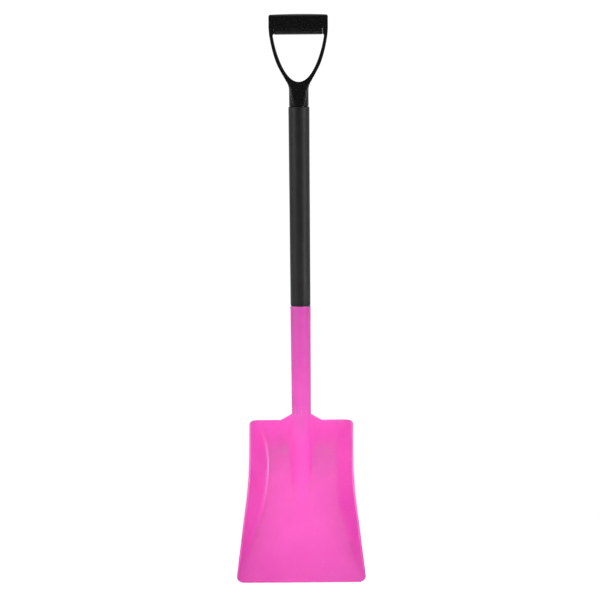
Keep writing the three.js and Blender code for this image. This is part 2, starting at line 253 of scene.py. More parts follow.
def placeGroup(tree, group, **values):
    node = addNode(tree, "ShaderNodeGroup", node_tree=group)
    for label, value in values.items():
        node.inputs[label].default_value = value
    return node


def newMaterial(name, look):
    material = bpy.data.materials.new(name)
    material.use_nodes = True
    tree = material.node_tree
    shader = tree.nodes["Principled BSDF"]
    for label, value in look.items():
        shader.inputs[label].default_value = value
    return material, tree, shader


def mixColors(tree, factor, a, b):
    node = addNode(tree, "ShaderNodeMix", data_type="RGBA")
    for socket, value in zip((node.inputs[0], node.inputs[6], node.inputs[7]), (factor, a, b)):
        if isinstance(value, (int, float, tuple)):
            socket.default_value = value
        else:
            tree.links.new(value, socket)
    return node.outputs[2]


def joinHeights(tree, *parts):
    total = None
    for value, weight in parts:
        share = mathNode(tree, "MULTIPLY", value, weight)
        total = share if total is None else mathNode(tree, "ADD", total, share)
    return total


def bumpInto(tree, shader, height, distance, strength):
    bump = addNode(tree, "ShaderNodeBump")
    bump.inputs["Strength"].default_value = strength
    bump.inputs["Distance"].default_value = distance
    tree.links.new(height, bump.inputs["Height"])
    tree.links.new(bump.outputs["Normal"], shader.inputs["Normal"])


groups = makeGroups()
print("surface effects ready:", ", ".join(sorted(groups)))

# moulded polypropylene of the blade and its socket
pinkLook = {
    "body": (0.80, 0.072, 0.475, 1.0),
    "pale": (0.84, 0.088, 0.51, 1.0),       # where the melt cooled slowest
    "socketSheen": (0.79, 0.090, 0.51, 1.0),     # painted sheen: a paler, whiter pink on the middle of the socket and the ridge top
    "sheenHeights": (0.25, 0.30),            # metres up the tool, over which the painted sheen sets in
    "dullWidths": (0.012, 0.024),           # and metres off the middle, over which it stops
    # painted highlight: a pale lilac pink on the raised edges and rims, standing in for light caught there;
    # the scratches take the same colour as real scuffing
    "rubbed": (0.92, 0.30, 0.72, 1.0),
    "edgeHighlight": 0.55,
    "scratchRub": 0.35,
    "scratchDulling": 0.02,
    "roughness": (0.16, 0.23),
    "heights": (0.08, 1.0, 0.3),            # pebble, drift and scratches
    "bump": (0.00012, 0.6),
    "shader": {"IOR": 1.49, "Subsurface Weight": 0.12, "Subsurface Scale": 0.004,
               "Subsurface Radius": (1.0, 0.35, 0.6)},
}


def makePink(look):
    material, tree, shader = newMaterial("pinkPolypropylene", look["shader"])
    grain = placeGroup(tree, groups["grain"], Scale=1400.0, Drift=11.0)
    scratch = placeGroup(tree, groups["scratch"], Amount=0.35)
    rub = placeGroup(tree, groups["rub"], Sharpness=0.05)
    cooling = rangeNode(tree, grain.outputs["Gloss"], 0.35, 0.65, 0.0, 1.0)
    moulded = mixColors(tree, cooling, look["body"], look["pale"])
    # painted sheen: the middle of the socket and the ridge top is painted a paler, whiter pink for the
    # light on it
    split = addNode(tree, "ShaderNodeSeparateXYZ")
    tree.links.new(addNode(tree, "ShaderNodeTexCoord").outputs["Object"], split.inputs[0])
    upwards = rangeNode(tree, split.outputs["Z"], *look["sheenHeights"], 0.0, 1.0)
    offMiddle = mathNode(tree, "ABSOLUTE", split.outputs["X"], 0.0)
    middle = rangeNode(tree, offMiddle, *look["dullWidths"], 1.0, 0.0)
    base = mixColors(tree, mathNode(tree, "MULTIPLY", upwards, middle), moulded, look["socketSheen"])
    # painted highlight along the raised edges and rims; the scratch marks are real wear
    edgeLight = mathNode(tree, "MULTIPLY", rub.outputs["Edge"], look["edgeHighlight"])
    marked = mathNode(tree, "MULTIPLY", scratch.outputs["Mask"], look["scratchRub"])
    base = mixColors(tree, edgeLight, base, look["rubbed"])
    base = mixColors(tree, marked, base, look["rubbed"])
    tree.links.new(base, shader.inputs["Base Color"])
    gloss = rangeNode(tree, grain.outputs["Gloss"], 0.3, 0.7, *look["roughness"])
    dulling = mathNode(tree, "MULTIPLY", scratch.outputs["Mask"], look["scratchDulling"])
    tree.links.new(mathNode(tree, "ADD", gloss, dulling, True), shader.inputs["Roughness"])
    pebble, drift, lines = look["heights"]
    height = joinHeights(tree, (grain.outputs["Height"], pebble), (grain.outputs["Gloss"], drift),
                         (scratch.outputs["Height"], lines))
    bumpInto(tree, shader, height, *look["bump"])
    return material


# moulded polyamide of the grip
blackLook = {
    "body": (0.0056, 0.0056, 0.0060, 1.0),
    # painted highlight: a lighter grey on the raised edges, standing in for light caught there; the
    # scratches take the same colour as real scuffing
    "rubbed": (0.02, 0.02, 0.021, 1.0),
    "edgeHighlight": 0.7,
    "scratchRub": 0.5,
    "roughness": (0.22, 0.33),
    "bump": (0.00002, 0.5),
    "shader": {"IOR": 1.5, "Specular IOR Level": 0.5},
}


def makeBlack(look):
    material, tree, shader = newMaterial("blackPolyamide", look["shader"])
    grain = placeGroup(tree, groups["grain"], Scale=1500.0, Drift=40.0)
    scratch = placeGroup(tree, groups["scratch"], Amount=0.4)
    rub = placeGroup(tree, groups["rub"], Sharpness=0.06)
    # painted highlight along the raised edges; the scratch marks are real wear
    edgeLight = mathNode(tree, "MULTIPLY", rub.outputs["Edge"], look["edgeHighlight"])
    marked = mathNode(tree, "MULTIPLY", scratch.outputs["Mask"], look["scratchRub"])
    base = mixColors(tree, edgeLight, look["body"], look["rubbed"])
    base = mixColors(tree, marked, base, look["rubbed"])
    tree.links.new(base, shader.inputs["Base Color"])
    gloss = rangeNode(tree, grain.outputs["Gloss"], 0.3, 0.7, *look["roughness"])
    tree.links.new(gloss, shader.inputs["Roughness"])
    height = joinHeights(tree, (grain.outputs["Height"], 1.0), (scratch.outputs["Height"], 0.8))
    bumpInto(tree, shader, height, *look["bump"])
    return material


# closed-cell foam of the sleeve
foamLook = {
    "body": (0.0185, 0.0180, 0.0190, 1.0),
    "cell": (0.0080, 0.0078, 0.0083, 1.0),
    "bloom": (0.024, 0.0234, 0.0246, 1.0),
    "cellsPerMetre": 1100.0,
    "bump": (0.00025, 0.7),
    "shader": {"Roughness": 0.46, "IOR": 1.5, "Sheen Weight": 0.02, "Sheen Roughness": 0.45,
               "Sheen Tint": (0.8, 0.8, 0.84, 1.0)},
}


def makeFoam(look):
    material, tree, shader = newMaterial("charcoalFoam", look["shader"])
    place = addNode(tree, "ShaderNodeTexCoord").outputs["Object"]
    cells = addNode(tree, "ShaderNodeTexVoronoi", feature="F1")
    cells.inputs["Scale"].default_value = look["cellsPerMetre"]
    tree.links.new(place, cells.inputs["Vector"])
    grain = placeGroup(tree, groups["grain"], Scale=700.0, Drift=28.0)
    pits = rangeNode(tree, cells.outputs["Distance"], 0.1, 0.6, 1.0, 0.0)
    tone = mixColors(tree, pits, look["body"], look["cell"])
    bloom = rangeNode(tree, grain.outputs["Gloss"], 0.45, 0.75, 0.0, 0.5)
    tree.links.new(mixColors(tree, bloom, tone, look["bloom"]), shader.inputs["Base Color"])
    height = joinHeights(tree, (cells.outputs["Distance"], 0.7), (grain.outputs["Height"], 0.5),
                         (grain.outputs["Gloss"], 1.6))
    bumpInto(tree, shader, height, *look["bump"])
    return material


# tube, pin and screws
steelLook = {
    "body": (0.52, 0.52, 0.53, 1.0),
    "stain": (0.30, 0.29, 0.28, 1.0),
    "hollowDarkening": 0.8,
    "roughnessSpread": (0.06, 0.1),     # how far it drifts below and above the middle value
    "bump": (0.00005, 0.5),
    "shader": {"Metallic": 1.0, "IOR": 2.5},
}


def makeSteel(name, look, roughness, scratches):
    material, tree, shader = newMaterial(name, look["shader"])
    grain = placeGroup(tree, groups["grain"], Scale=1200.0, Drift=60.0)
    rub = placeGroup(tree, groups["rub"], Sharpness=0.08)
    # random stains, and darker in hollows found by pointiness
    stain = rangeNode(tree, grain.outputs["Gloss"], 0.5, 0.75, 0.0, 0.6)
    hollow = mathNode(tree, "MULTIPLY", rub.outputs["Hollow"], look["hollowDarkening"])
    stainAndHollowDark = mathNode(tree, "MAXIMUM", stain, hollow, True)
    tree.links.new(mixColors(tree, stainAndHollowDark, look["body"], look["stain"]), shader.inputs["Base Color"])
    below, above = look["roughnessSpread"]
    gloss = rangeNode(tree, grain.outputs["Gloss"], 0.3, 0.7, roughness - below, roughness + above)
    tree.links.new(gloss, shader.inputs["Roughness"])
    scratch = placeGroup(tree, groups["scratch"], Amount=scratches)
    height = joinHeights(tree, (grain.outputs["Height"], 0.5), (scratch.outputs["Height"], 1.0))
    bumpInto(tree, shader, height, *look["bump"])
    return material


# dowel hidden in the tube
dowelLook = {
    "body": (0.25, 0.25, 0.24, 1.0),
    "shade": (0.19, 0.19, 0.18, 1.0),
    "bump": (0.0001, 0.5),
    "shader": {"Roughness": 0.6},
}


def makeDowel(look):
    material, tree, shader = newMaterial("greyDowelPlastic", look["shader"])
    grain = placeGroup(tree, groups["grain"], Scale=800.0, Drift=30.0)
    base = mixColors(tree, grain.outputs["Gloss"], look["body"], look["shade"])
    tree.links.new(base, shader.inputs["Base Color"])
    bumpInto(tree, shader, grain.outputs["Height"], *look["bump"])
    return material


pink = makePink(pinkLook)
black = makeBlack(blackLook)
foam = makeFoam(foamLook)
drawnSteel = makeSteel("drawnSteel", steelLook, 0.32, 0.9)
zincSteel = makeSteel("zincSteel", steelLook, 0.28, 0.3)
dowelPlastic = makeDowel(dowelLook)
print("materials ready:", len(bpy.data.materials))


def dress(obj, material):
    obj.data.materials.clear()
    obj.data.materials.append(material)
    return obj


# scoop blade with its socket
blade = {
    "length": 312.0,
    "topHalf": 97.0,            # outline half width at the upper edge, inside the rim
    "mouthHalf": 122.5,
    "bendPlace": 0.35,          # where the sides start to flare, as a share of the length
    "bendSpread": 0.16,
    "edgeSpare": 0.35,          # the outline stands this far out at the top
    "mouthSpare": 0.75,         # and this much further at the mouth
    "sheet": 4.0,
    "rimRound": 1.7,            # how far the rim bulges past the sheet
    "tilt": math.radians(14),
    "setback": 20.0,
    "lipRise": 27.0,
    "lipLength": 90.0,
    "wallHeight": 51.5,
    "wallCrest": 0.32,          # the walls are highest here, as a share of the length
    "wallRun": 0.645,
    "wallDrop": 0.17,
    "wallFullness": 1.25,
    "wallLean": 0.61,
    "topCorner": 7.5,
    "mouthCorner": 13.0,
    "creaseBlend": 9.0,
    "ridgeBlend": 7.0,
    "ridgeSkin": 0.05,          # the ridge stands this far outside the socket
    "ridgeSwell": 0.55,
    "swellFrom": -12.0,
    "swellTo": 30.0,
    "ridgeNose": 0.5,
    "noseRound": 12.0,
    "flankSteep": 66.0,         # degrees
    "flankOpening": 20.0,
    "shoulderRise": 12.0,
    "shoulderReach": 21.0,
    "shoulderFade": 8,
    "socketFoot": 18.45,
    "socketMouth": 19.75,
    "socketSink": 20.0,         # how far the socket starts inside the moulding
    "socketEase": (0.2, 6.0),   # it swells by this much over this height as it leaves the moulding
    "socketSteps": 12,
    "mouthLip": 0.12,
    "mouthRound": 0.9,
    "bore": 16.3,
    "boreLeadIn": 1.2,
    "boreMouth": (0.8, 0.4),    # the lead-in starts below the top and ends above it
    "pilot": (2.3, 40.0),       # radius and length of the screw holes
    "bossFoot": (9.5, 12.0),    # radius, and place behind the shaft's middle
    "bossFlank": ((8.2, 1.9), (7.4, 1.0)),      # radius, and drop from the seat
    "bossSeat": 6.3,
    "bossRound": 0.7,
    "tailStart": 60.0,
    "tailEnd": 175.0,
    "tailSteep": math.radians(68),
    "tailSink": 2.0,
    "tailBlend": 3.0,
    "backBlend": 7.0,
    "lean": 2.2,                # the moulding runs this far off the shaft's line at the mouth
    "columns": 176,
    "rows": 230,
    "rowCrowding": 0.88,        # rows draw together at both ends
    "middleHalf": 26.0,         # the ridge gets a larger share of the columns
    "middleShare": 0.36,
    "slopeStep": 0.4,
}


def smoothMin(a, b, blend):
    h = np.maximum(blend - np.abs(a - b), 0) / blend
    return np.minimum(a, b) - h * h * blend / 4


def smoothStep(low, high, x):
    t = np.clip((x - low) / (high - low), 0, 1)
    return t * t * (3 - 2 * t)


def outlineHalf(v):
    bend = blade["bendPlace"] * blade["length"]
    spread = blade["bendSpread"] * blade["length"]
    flare = (blade["mouthHalf"] - blade["topHalf"]) / (blade["length"] - bend)
    t = np.clip((v - bend + spread) / (2 * spread), 0, 1)
    return blade["topHalf"] + np.where(v > bend + spread, flare * (v - bend), flare * spread * t * t)


def cornerCut(distance, radius):
    short = np.maximum(radius - distance, 0)
    return radius - np.sqrt(np.maximum(radius ** 2 - short ** 2, 0))


def floorPlane(v):
    return blade["setback"] - v * math.tan(blade["tilt"])


def floorDepth(v):
    lip = np.maximum(1 - v / blade["lipLength"], 0)
    return floorPlane(v) - blade["lipRise"] * lip ** 2


def wallEdgeDepth(v):
    crest = blade["wallCrest"] * blade["length"]
    up = (crest - v) / crest
    down = (v - crest) / (blade["wallRun"] * blade["length"])
    above = 1 - blade["wallDrop"] * up ** 2
    below = np.maximum(1 - down ** 2, 0) ** blade["wallFullness"]
    return floorPlane(v) - blade["wallHeight"] * np.where(v < crest, above, below)


def scoopDepth(x, v):
    wall = wallEdgeDepth(v) + (outlineHalf(v) - np.abs(x)) / blade["wallLean"]
    return smoothMin(floorDepth(v), wall, blade["creaseBlend"])


# half a round bar seen from one side: an arc that leaves along its tangent at the given steepness
def barrelRise(run, radius, steep):
    foot = radius * np.sin(steep)
    arc = np.sqrt(np.maximum(radius ** 2 - run ** 2, 0))
    flank = radius * np.cos(steep) - (run - foot) * np.tan(steep)
    return np.where(run > foot, flank, arc)


def ridgeDepth(x, v):
    opening = np.clip(1 - v / blade["lipLength"], 0, 1)
    steep = np.radians(blade["flankSteep"] - blade["flankOpening"] * opening ** 2)
    swell = blade["ridgeSwell"] * smoothStep(blade["swellFrom"], blade["swellTo"], v)
    radius = blade["socketFoot"] + blade["ridgeSkin"] + swell
    nose = np.maximum(v - blade["ridgeNose"] * blade["length"], 0)
    return -barrelRise(np.abs(x), radius, steep) + nose ** 2 / blade["noseRound"]


def frontDepth(x, v):
    return smoothMin(scoopDepth(x, v), ridgeDepth(x, v), blade["ridgeBlend"])


# back of the socket: round behind the upper part of the blade, then planed off down to the sheet
def tailDepth(x, v):
    radius = blade["socketFoot"] + blade["ridgeSkin"]
    barrel = barrelRise(np.abs(x), radius, blade["tailSteep"])
    endY = floorDepth(np.array(blade["tailEnd"])) + blade["sheet"] - blade["tailSink"]
    slope = (radius - endY) / (blade["tailEnd"] - blade["tailStart"])
    plane = radius - slope * (v - blade["tailStart"])
    return smoothMin(barrel, plane, blade["tailBlend"])


def backDepth(x, sheetBack, v):
    return -smoothMin(-sheetBack, -tailDepth(x, v), blade["backBlend"])


def columnPlaces(half):
    middle = blade["middleHalf"]
    share = blade["middleShare"]
    across = np.linspace(-1, 1, blade["columns"] + 1)
    out = np.abs(across)
    outer = middle + (half[:, None] - middle) * (out - share) / (1 - share)
    return np.sign(across) * np.where(out < share, out / share * middle, outer)


def shoulderRise(x):
    out = (np.abs(x) - blade["socketFoot"]) / blade["shoulderReach"]
    return blade["shoulderRise"] * np.clip(1 - out, 0, 1)


# front and back as two grids: x across, v down from the upper edge
def makeScoop():
    inset = blade["rimRound"]
    length = blade["length"]
    w = np.linspace(0, 1, blade["rows"] + 1)
    w = w - blade["rowCrowding"] * np.sin(2 * math.pi * w) / (2 * math.pi)
    level = inset + w * (length - 2 * inset)
    fromTop = level - inset
    fromMouth = length - inset - level
    half = outlineHalf(level) + blade["edgeSpare"] + blade["mouthSpare"] * (level / length) ** 2
    half = half - cornerCut(fromTop, blade["topCorner"] - inset)
    half = half - cornerCut(fromMouth, blade["mouthCorner"] - inset)
    x = columnPlaces(half)
    v = level[:, None] - shoulderRise(x) * (1 - w[:, None]) ** blade["shoulderFade"]
    step = blade["slopeStep"]
    slope = (scoopDepth(x + step, v) - scoopDepth(x - step, v)) / (2 * step)
    normal = np.hypot(slope, 1)
    backX = x - blade["sheet"] * slope / normal
    sheetBack = scoopDepth(x, v) + blade["sheet"] / normal
    front = np.stack([x, frontDepth(x, v), length - v], -1)
    back = np.stack([backX, backDepth(backX, sheetBack, v), length - v], -1)
    for side in (front, back):
        side[..., 0] -= blade["lean"] * np.maximum(v, 0) / length
        side[..., 1] += axisY
    return joinSides(front, back, inset)


def borderLoop(rows, columns):
    top = [(0, j) for j in range(columns)]
    right = [(i, columns - 1) for i in range(1, rows)]
    bottom = [(rows - 1, j) for j in range(columns - 2, -1, -1)]
    left = [(i, 0) for i in range(rows - 2, 0, -1)]
    return top + right + bottom + left


# closes two grids with a full round rim
def joinSides(front, back, bulge, rimSteps=7):
    rows, columns = front.shape[:2]
    count = rows * columns
    verts = np.concatenate([front.reshape(-1, 3), back.reshape(-1, 3)])
    index = np.arange(count).reshape(rows, columns)
    quads = np.stack([index[:-1, :-1], index[:-1, 1:], index[1:, 1:], index[1:, :-1]], -1).reshape(-1, 4)
    faces = quads.tolist() + (quads[:, ::-1] + count).tolist()
    loop = np.array([index[i, j] for i, j in borderLoop(rows, columns)])
    a, b = verts[loop], verts[loop + count]
    middle = (a + b) / 2
    along = np.roll(middle, -3, 0) - np.roll(middle, 3, 0)
    through = b - a
    out = np.cross(along, through)
    out /= np.linalg.norm(out, axis=1)[:, None]
    centre = verts[:count].mean(0)
    if np.sum((middle - centre) * out) < 0:
        out = -out
    previous = loop
    for k in range(1, rimSteps):
        turn = math.pi * k / rimSteps
        ring = middle - math.cos(turn) * through / 2 + math.sin(turn) * bulge * out
        current = np.arange(len(loop)) + len(verts)
        verts = np.concatenate([verts, ring])
        faces += stitch(previous, current)
        previous = current
    faces += stitch(previous, loop + count)
    return verts, faces


def stitch(lower, upper):
    return np.stack([lower, np.roll(lower, -1), np.roll(upper, -1), upper], -1).tolist()


# outside of the socket, widening a little towards its mouth
def socketTool():
    foot = blade["socketFoot"]
    mouth = blade["socketMouth"]
    r = blade["mouthRound"]
    shoulder = blade["length"]
    low = shoulder - blade["socketSink"]
    ease, easeRise = blade["socketEase"]
    outline = [(0, low), (foot - ease, low), (foot, shoulder + easeRise)]
    widening = mouth - foot - blade["mouthLip"]
    for t in np.linspace(0.05, 0.97, blade["socketSteps"]):
        outline.append((foot + widening * t, shoulder + t * (bladeTop - shoulder)))
    for t in np.linspace(0, math.pi / 2, 7):
        outline.append((mouth - r + r * math.cos(t), bladeTop - r + r * math.sin(t)))
    outline.append((0, bladeTop))
    return lathed("socketTool", outline, 160, centre=(0, axisY, 0))


def boreTool():
    bore = blade["bore"]
    wide = bore + blade["boreLeadIn"]
    below, above = blade["boreMouth"]
    foot = tubeFoot - clearance
    outline = [(0, foot), (bore, foot), (bore, bladeTop - below), (wide, bladeTop + above),
               (wide, bladeTop + 3), (0, bladeTop + 3)]
    return lathed("boreTool", outline, 128, centre=(0, axisY, 0))


def pilotTool(name):
    low, high = (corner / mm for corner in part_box(name))
    z = (low.z + high.z) / 2
    radius, length = blade["pilot"]
    return lathed("pilotTool", [(0, 0), (radius, 0), (radius, length), (0, length)], 32, "y", (0, axisY, z))


# raised seat that the screw's head sits on
def bossTool(name):
    low, high = (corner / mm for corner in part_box(name))
    z = (low.z + high.z) / 2
    seat = high.y - screwHead - clearance - axisY
    foot, deep = blade["bossFoot"]
    r = blade["bossRound"]
    outline = [(0, deep), (foot, deep)]
    outline += [(radius, seat - drop) for radius, drop in blade["bossFlank"]]
    for t in np.linspace(0, math.pi / 2, 5):
        outline.append((blade["bossSeat"] + r * math.cos(t), seat - r + r * math.sin(t)))
    outline.append((0, seat))
    return lathed("bossTool", outline, 64, "y", (0, axisY, z))


def makeBlade():
    body = pieceFromArrays("scoop_blade", *makeScoop())
    combine(body, socketTool(), "UNION")
    for name in ("socket_screw_upper", "socket_screw_lower"):
        combine(body, bossTool(name), "UNION")
    combine(body, boreTool(), "DIFFERENCE")
    for name in ("socket_screw_upper", "socket_screw_lower"):
        combine(body, pilotTool(name), "DIFFERENCE")
    smoothShade(body, 42)
    dress(body, pink)
    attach(body, "root")
    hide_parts("blade")
    print("blade:", len(body.data.polygons), "faces")


makeBlade()


# foam sleeve, pushed over the tube between socket and grip
sleeve = {
    "bore": 16.3,
    "boreRound": 0.9,
    "endRound": 2.6,
    "footRadius": 19.45,
    "topRadius": 20.5,
    "slump": 0.22,      # soft unevenness of the foam's skin
    # waves in it: lobes around, millimetres up for one radian, phase, share
    "waves": ((2, 47, 0.0, 0.4), (3, -29, 1.3, 0.3), (0, 61, 0.0, 0.3)),
    "endSteps": 9,
    "steps": 150,
    "segments": 144,
}


def makeSleeve():
    low, high = sleeveLow.z, sleeveHigh.z
    bore, lip, r = sleeve["bore"], sleeve["boreRound"], sleeve["endRound"]
    foot, top = sleeve["footRadius"], sleeve["topRadius"]
    outline = [(bore, low + lip), (bore + lip, low)]
    for t in np.linspace(0, math.pi / 2, sleeve["endSteps"]):
        outline.append((foot - r + r * math.sin(t), low + r * (1 - math.cos(t))))
    for t in np.linspace(0, 1, sleeve["steps"])[1:-1]:
        outline.append((foot + (top - foot) * t, low + r + t * (high - low - 2 * r)))
    for t in np.linspace(0, math.pi / 2, sleeve["endSteps"]):
        outline.append((top - r + r * math.cos(t), high - r * (1 - math.sin(t))))
    outline += [(bore + lip, high), (bore, high - lip)]
    body = lathed("foam_sleeve", outline, sleeve["segments"], centre=(0, axisY, 0),
                  closed=True, sharpAngle=60)
    for vertex in body.data.vertices:
        x, y, z = vertex.co / mm
        y -= axisY
        radius = math.hypot(x, y)
        if radius < bore + 1:
            continue
        turn = math.atan2(y, x)
        soft = 0
        for lobes, rise, phase, share in sleeve["waves"]:
            soft += math.sin(lobes * turn + z / rise + phase) * share
        scale = 1 - sleeve["slump"] * (0.5 - 0.5 * soft) / radius
        vertex.co = Vector((x * scale, y * scale + axisY, z)) * mm
    dress(body, foam)
    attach(body, "root")
    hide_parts("shaft_sleeve")
    print("sleeve:", len(body.data.polygons), "faces")


makeSleeve()

# D shaped hand grip
grip = {
    "halfWidth": 57.4,
    # the outer line's points, as a share of the half width and a level on the grip
    "neckStraight": 0.656,
    "neckPull": 0.941,
    "lowerArm": ((0.453, 1.02), (0.699, 1.326)),
    "upperArm": ((0.836, 1.496), (1, 1.904), (1, 2.363)),
    "earRound": 4.0,
    "gapHalf": 50.0,
    "gapFoot": 47.4,        # over the foot of the neck
    "gapHeight": 92.5,
    "gapWaist": 0.715,
    "gapPull": (0.586, 0.936),
    "gapCorner": 3.5,
    "gapCornerEase": (0.2, 0.1),
    "neck": 19.0,
    "neckFlat": 2.4,
    "flareDrop": 14.4,      # the neck opens from this far under the gap
    "flareOut": 18.0,
    "flareHeight": 29.0,
    "flareCurve": 1.75,
    "armDepth": 21.6,
    "armFootDrop": 8.4,
    "barDepth": 31.0,
    "barBow": 1.2,
    "barBlend": (12.0, 4.0, 8.0),       # from below the bar's foot, pulled, and to above it
    "barCrown": 0.8,
    "insertHalf": 46.5,
    "partingRise": 13.0,
    "ribRise": 13.0,
    "shellEdge": 1.0,
    "spigot": 14.2,
    "spigotLength": 60.0,
    "spigotBevel": 2.0,
    "edgeRadius": 1.5,
    "edgeSink": 0.7,
    "plugPlace": (49.6, 15.5),
    "plug": ((0, -0.5), (1.6, -0.45), (2.6, 0.2), (2.6, 6.0), (0, 6.0)),     # radius, depth in the bar
    "voxel": 0.55,
    "softening": 8,
    "armSoftening": 34,
    "softBand": (6.0, 2.0, 12.0),       # from under the gap's foot to under its top, and the fade
    "reach": 80.0,          # cutting tools reach this far out
}
gripFoot = sleeveHigh.z + clearance
gapFoot = gripFoot + grip["gapFoot"]
gapTop = gapFoot + grip["gapHeight"]
flareFoot = gapFoot - grip["flareDrop"]
armFoot = gapFoot - grip["armFootDrop"]


def bezier(p, steps):
    t = np.linspace(0, 1, steps + 1)[1:, None]
    u = 1 - t
    p = np.asarray(p, float)
    if len(p) == 3:
        return (u ** 2 * p[0] + 2 * t * u * p[1] + t * t * p[2]).tolist()
    return (u ** 3 * p[0] + 3 * t * u ** 2 * p[1] + 3 * t * t * u * p[2] + t ** 3 * p[3]).tolist()


# the last point lies on the middle line
def mirrored(points):
    return points + [[-x, z] for x, z in reversed(points[:-1])]


# levels are 0-1 on the neck, 1-2 beside the gap and 2-3 up the bar
def onGrip(share, level):
    levels = (gripFoot, gapFoot, gapTop, gripTop)
    zone = min(int(level), 2)
    return [share * grip["halfWidth"], levels[zone] + (level - zone) * (levels[zone + 1] - levels[zone])]


def gripOutline():
    neck, half, r = grip["neck"], grip["halfWidth"], grip["earRound"]
    ear = gripTop - grip["barBow"]
    straight, pull = (onGrip(0, grip[label])[1] for label in ("neckStraight", "neckPull"))
    right = [[neck, gripFoot], [neck, straight]]
    right += bezier([right[-1], [neck, pull]] + [onGrip(*place) for place in grip["lowerArm"]], 26)
    right += bezier([right[-1]] + [onGrip(*place) for place in grip["upperArm"]], 30)
    right.append([half, ear - r])
    right += bezier([right[-1], [half, ear], [half - r, ear]], 8)
    right += bezier([right[-1], [half / 2, ear + grip["barBow"]], [0, gripTop]], 16)
    return mirrored(right)


def handGap():
    half, corner = grip["gapHalf"], grip["gapCorner"]
    lower, upper = grip["gapPull"]
    easeIn, easeDown = grip["gapCornerEase"]
    waist = gapFoot + grip["gapWaist"] * grip["gapHeight"]
    side = bezier([[0, gapFoot], [lower * half, gapFoot], [upper * half, waist], [half, gapTop]], 60)
    side = [p for p in side if p[1] < gapTop - corner]
    side += bezier([side[-1], [half - easeIn, gapTop], [half - corner, gapTop - easeDown]], 7)
    side += bezier([side[-1], [half / 2, gapTop - grip["barBow"]], [0, gapTop - grip["barBow"]]], 16)
    return [[0, gapFoot]] + mirrored(side)


def gripSide():
    arm, bar = grip["armDepth"] / 2, grip["barDepth"] / 2
    blendFoot, blendPull, blendTop = grip["barBlend"]
    right = [[grip["neck"] - grip["neckFlat"], gripFoot], [arm, armFoot], [arm, gapTop - blendFoot]]
    right += bezier([right[-1], [bar, gapTop - blendPull], [bar, gapTop + blendTop]], 10)
    right.append([bar, gripTop - bar * grip["barCrown"]])
    right += bezier([right[-1], [bar, gripTop], [0, gripTop]], 14)
    return [[y + axisY, z] for y, z in mirrored(right)]


# lower shell of the bar with its rib, or the room for it when it grows
def insertPrism(name, grow, half):
    bar = grip["barDepth"] / 2 + grow
    rib = grip["barDepth"] / 4 + grow
    foot = gapTop - grip["barBow"] - grow
    parting = foot + grip["partingRise"] + 2 * grow
    right = [[rib, parting + grip["ribRise"]], [rib, parting], [bar, parting]]
    right += bezier([right[-1], [bar, foot], [0, foot]], 18)
    return prism(name, [[y + axisY, z] for y, z in mirrored(right)], "x", -half, half)


# round neck that opens upwards, wide enough above to leave the arms alone
def neckBell():
    neck, height = grip["neck"], grip["flareHeight"]
    outline = [(0, gripFoot), (neck, gripFoot)]
    for t in np.linspace(0, 1, 14):
        outline.append((neck + grip["flareOut"] * t ** grip["flareCurve"], flareFoot + height * t))
    out, over = 4 * grip["halfWidth"], gripTop + 5
    outline += [(out, flareFoot + height), (out, over), (0, over)]
    return lathed("bellTool", outline, 120, centre=(0, axisY, 0))


# round rod along a row of points
def rodAlong(name, points, radius, segments=14):
    points = np.asarray(points, float)
    along = np.gradient(points, axis=0)
    along /= np.linalg.norm(along, axis=1)[:, None]
    side = np.cross(along, (0.0, 1.0, 0.0))
    side /= np.linalg.norm(side, axis=1)[:, None]
    other = np.cross(along, side)
    verts = []
    faces = []
    for i in range(len(points)):
        for k in range(segments):
            turn = 2 * math.pi * k / segments
            verts.append(points[i] + radius * (math.cos(turn) * side[i] + math.sin(turn) * other[i]))
    for i in range(len(points) - 1):
        here = i * segments
        after = here + segments
        for k in range(segments):
            n = (k + 1) % segments
            faces.append((here + k, here + n, after + n, after + k))
    faces.append(tuple(range(segments)))
    faces.append(tuple(range(len(verts) - 1, len(verts) - segments - 1, -1)))
    return pieceFromArrays(name, verts, faces)


# edge that runs down from each arm and closes in on the front and back of the neck
def neckEdge(side, face):
    neck, flat = grip["neck"], grip["neckFlat"]
    points = []
    for z in np.linspace(gripFoot + 1.5, gapFoot + 4, 24):
        climb = min((z - gripFoot) / (armFoot - gripFoot), 1)
        depth = neck - flat + (grip["armDepth"] / 2 - neck + flat) * climb
        opening = max((z - flareFoot) / grip["flareHeight"], 0) ** grip["flareCurve"]
        radius = neck + grip["flareOut"] * opening
        across = side * math.sqrt(radius ** 2 - depth ** 2)
        points.append((across, axisY + face * (depth - grip["edgeSink"]), z))
    return rodAlong("edgeTool", points, grip["edgeRadius"])


def voxelMould(obj, size):
    step = obj.modifiers.new("mould", "REMESH")
    step.mode = "VOXEL"
    step.voxel_size = size * mm
    step.use_smooth_shade = True
    return bakeModifiers(obj)


# smooths all of a piece, or the band between two heights with faded ends
def soften(obj, iterations, band=None):
    ease = obj.modifiers.new("ease", "SMOOTH")
    ease.factor = 0.5
    ease.iterations = iterations
    if band:
        low, high, fade = band
        group = obj.vertex_groups.new(name="soft")
        for vertex in obj.data.vertices:
            z = vertex.co.z / mm
            weight = min(max((z - low) / fade, 0), max((high - z) / fade, 0), 1)
            if weight > 0:
                group.add([vertex.index], weight, "REPLACE")
        ease.vertex_group = "soft"
    return bakeModifiers(obj)


# small round plug at each end of the bar, front side
def plugTool(side):
    x, rise = grip["plugPlace"]
    front = -grip["barDepth"] / 2
    outline = [(radius, front + deep) for radius, deep in grip["plug"]]
    return lathed("plugTool", outline, 40, "y", (side * x, axisY, gapTop + rise))


